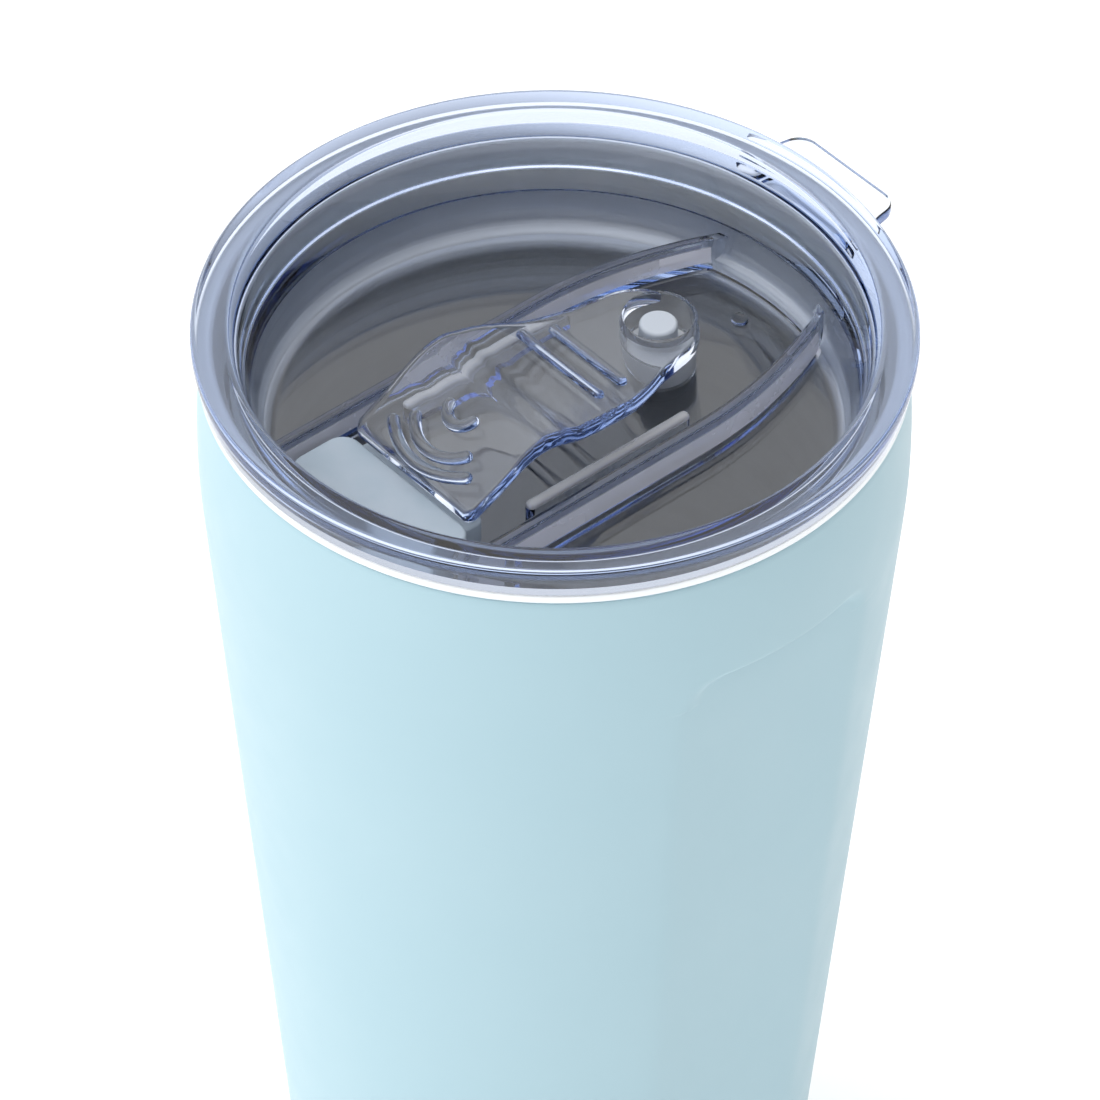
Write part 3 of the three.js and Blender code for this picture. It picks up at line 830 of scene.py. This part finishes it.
def straight_rib(y, half_length):
    z = DATUM + curve_through(GATE_SPINE, y) + 0.02
    reach = half_length - RIB_RADIUS
    return tube("rib", [(-reach, y, z), (0, y, z), (reach, y, z)], RIB_RADIUS)


def make_gate():
    d = DATUM
    plate = prism("sip_gate_fine", gate_outline(), -PLATE_THICKNESS, 0, round_low=0.7, round_high=0.8)
    bent(plate, lambda y: d + curve_through(GATE_SPINE, y), -22.6, 20.9, 110)
    ribs = [curved_rib(-16.2, 4.3, 2.35), curved_rib(-20.05, 9.5, 6.5), curved_rib(-21.95, 13.6, 11.8),
            straight_rib(0.8, 7.8), straight_rib(5.3, 6.9)]
    skins = [remember(plate)]
    boss_corners = [(0, d - 15.7, 0), (BOSS_RADIUS, d - 15.7, 0.3), (BOSS_RADIUS, d + BOSS_TOP, 0.2),
                    (0, d + BOSS_TOP, 0)]
    boss = turned("boss", filleted(boss_corners, closed=False), turn=128, centre=(0, VENT_Y))
    combine(plate, ribs + [boss], skins)
    contact = VENT_PLUG_RADIUS - 0.01
    mouth = BORE_RADIUS + 0.35
    bore_corners = [(0, d - 17, 0), (contact, d - 17, 0), (contact, d + PLUG_SHOULDER - 0.1, 0.1),
                    (BORE_RADIUS, d + PLUG_SHOULDER + 0.3, 0.3), (BORE_RADIUS, d + BOSS_TOP - 0.2, 0.3),
                    (mouth, d + BOSS_TOP + 0.4, 0), (mouth, d - 5, 0), (0, d - 5, 0)]
    bore = turned("bore", filleted(bore_corners, closed=False), turn=128, centre=(0, VENT_Y))
    combine(plate, [bore], skins, "DIFFERENCE")
    tidy(plate, skins)
    dress(plate, "gate", "clear_plastic", clear_material("clear_gate"), "sip_gate")


def make_gate_seal():
    low, high = seal_low, seal_high
    block_plan = rectangle(low.x, high.x, low.y, SEAL_BACK, 2.6)
    block = prism("gate_seal_fine", block_plan, low.z, high.z, round_low=0.3, round_high=0.5)
    tongue_plan = rectangle(-TONGUE_HALF_WIDTH, TONGUE_HALF_WIDTH, SEAL_BACK - 1.5, high.y, 1.2)
    tongue = prism("tongue", tongue_plan, low.z, DATUM + TONGUE_TOP, round_high=0.4)
    skins = [remember(block)]
    combine(block, [tongue], skins)
    tidy(block, skins)
    material = silicone_material("grey_silicone", (0.33, 0.4, 0.47), (0.37, 0.43, 0.5), 0.5, scatter=0.25)
    dress(block, "gate", "grey_silicone", material, "gate_seal")


def make_vent_plug():
    low, high = plug_low.z, plug_high.z
    shoulder = DATUM + PLUG_SHOULDER
    corners = [(0, low, 0), (VENT_PLUG_RADIUS, low, 0.6), (VENT_PLUG_RADIUS, shoulder, 0.2),
               (NUB_RADIUS + 0.1, shoulder + 0.35, 0.5), (NUB_RADIUS - 0.03, high, 0.45), (0, high, 0)]
    plug = turned("vent_plug_fine", filleted(corners, closed=False), turn=96, centre=(0, VENT_Y))
    tip = (shoulder + 0.2, (0.42, 0.46, 0.52))
    material = silicone_material("white_silicone", (0.74, 0.77, 0.8), (0.8, 0.82, 0.84), 0.45, scatter=0.4,
                                 tip=tip)
    dress(plug, "gate", "white_silicone", material, "vent_plug")


# ---- Stage ----
FLOOR_RADIUS = 2500
FLOOR_SIDES = 64
FLOOR_GLOW = 0.1                         # keeps the floor white where the tumbler shades it

CAMERA_AZIMUTH, CAMERA_ELEVATION = 49.0, 43.45
CAMERA_DISTANCE = 0.85
CAMERA_LENS = 223.95
CAMERA_ROLL = math.radians(0.45)
AIM_BELOW_DATUM, AIM_LEFT = 36.6, 0.4


def studio_world():
    """A white studio, brightest overhead and towards -X and -Y, and dark low on the other side."""
    world = bpy.data.worlds.new("studio")
    world.use_nodes = True
    tree = world.node_tree
    tree.nodes.clear()
    output = tree.nodes.new("ShaderNodeOutputWorld")
    background = tree.nodes.new("ShaderNodeBackground")
    place = tree.nodes.new("ShaderNodeTexCoord")
    dot = tree.nodes.new("ShaderNodeVectorMath")
    dot.operation = "DOT_PRODUCT"
    dot.inputs[1].default_value = (-0.35, -0.25, 0.85)
    ramp = tree.nodes.new("ShaderNodeValToRGB")
    stops = ramp.color_ramp.elements
    stops[0].position, stops[0].color = 0.2, (0.06, 0.062, 0.066, 1)
    stops[1].position, stops[1].color = 1.0, (1.0, 1.0, 1.0, 1)
    for position, level in ((0.6, 0.39), (0.8, 0.78)):
        stops.new(position).color = (level, level, level, 1)
    shift = tree.nodes.new("ShaderNodeMath")
    shift.operation = "MULTIPLY_ADD"
    shift.inputs[1].default_value = 0.5
    shift.inputs[2].default_value = 0.5
    tree.links.new(place.outputs["Generated"], dot.inputs[0])
    tree.links.new(dot.outputs["Value"], shift.inputs[0])
    tree.links.new(shift.outputs[0], ramp.inputs[0])
    tree.links.new(ramp.outputs[0], background.inputs["Color"])
    tree.links.new(background.outputs[0], output.inputs["Surface"])
    background.inputs["Strength"].default_value = 1.6
    scene.world = world


def towards(azimuth, elevation):
    """The direction from the tumbler to a place seen at an azimuth and elevation, in degrees."""
    a, e = math.radians(azimuth), math.radians(elevation)
    return Vector((math.sin(a) * math.cos(e), -math.cos(a) * math.cos(e), math.sin(e)))


def soft_light(name, azimuth, elevation, distance, size, power):
    """A square softbox that faces the upper body and doesn't show in the steel or the clear lid."""
    aim = Vector((0, 0, 0.12))
    back = towards(azimuth, elevation)
    data = bpy.data.lights.new(name, "AREA")
    data.shape = "SQUARE"
    data.size = size
    data.energy = power
    lamp = bpy.data.objects.new(name, data)
    lamp.visible_glossy = False
    lamp.visible_transmission = False
    lamp.location = aim + back * distance
    lamp.rotation_euler = (-back).to_track_quat("-Z", "Y").to_euler()
    scene.collection.objects.link(lamp)


def make_floor():
    vertices = [(FLOOR_RADIUS * math.cos(a), FLOOR_RADIUS * math.sin(a), 0)
                for a in np.linspace(0, 2 * math.pi, FLOOR_SIDES, endpoint=False)]
    floor = new_object("floor", vertices, [tuple(range(FLOOR_SIDES))])
    m = Nodes("pale_floor")
    m.join(m.mix(m.noise(3, 2), (0.9, 0.9, 0.9), (0.93, 0.93, 0.93)), m.shader.inputs["Base Color"])
    m.set(Roughness=0.9, Specular_IOR_Level=0.1, Emission_Strength=FLOOR_GLOW)
    m.shader.inputs["Emission Color"].default_value = (1.0, 1.0, 1.0, 1.0)
    floor.data.materials.append(m.material)


def make_camera():
    azimuth = math.radians(CAMERA_AZIMUTH)
    right = Vector((math.cos(azimuth), math.sin(azimuth), 0))
    back = towards(CAMERA_AZIMUTH, CAMERA_ELEVATION)
    up = back.cross(right)
    aim = Vector((0, 0, DATUM - AIM_BELOW_DATUM)) * MM - right * AIM_LEFT * MM
    turned_right = right * math.cos(CAMERA_ROLL) + up * math.sin(CAMERA_ROLL)
    turned_up = up * math.cos(CAMERA_ROLL) - right * math.sin(CAMERA_ROLL)
    data = bpy.data.cameras.new("camera")
    data.lens = CAMERA_LENS
    data.sensor_width = 36
    data.clip_start, data.clip_end = 0.05, 20
    camera = bpy.data.objects.new("camera", data)
    camera.matrix_world = Matrix.Translation(aim + back * CAMERA_DISTANCE) @ Matrix(
        (turned_right, turned_up, back)).transposed().to_4x4()
    scene.collection.objects.link(camera)
    scene.camera = camera


make_camera()
make_outer_shell()
make_inner_vessel()
make_base()
make_lid()
make_gasket()
make_gate()
make_gate_seal()
make_vent_plug()
make_floor()
studio_world()
soft_light("key", CAMERA_AZIMUTH - 75, 50, 1.6, 1.2, 7.5)
soft_light("top", CAMERA_AZIMUTH + 150, 65, 1.6, 1.0, 1.5)

scene.view_settings.view_transform = "Standard"
scene.cycles.max_bounces = 24
scene.cycles.transmission_bounces = 20
scene.cycles.glossy_bounces = 12
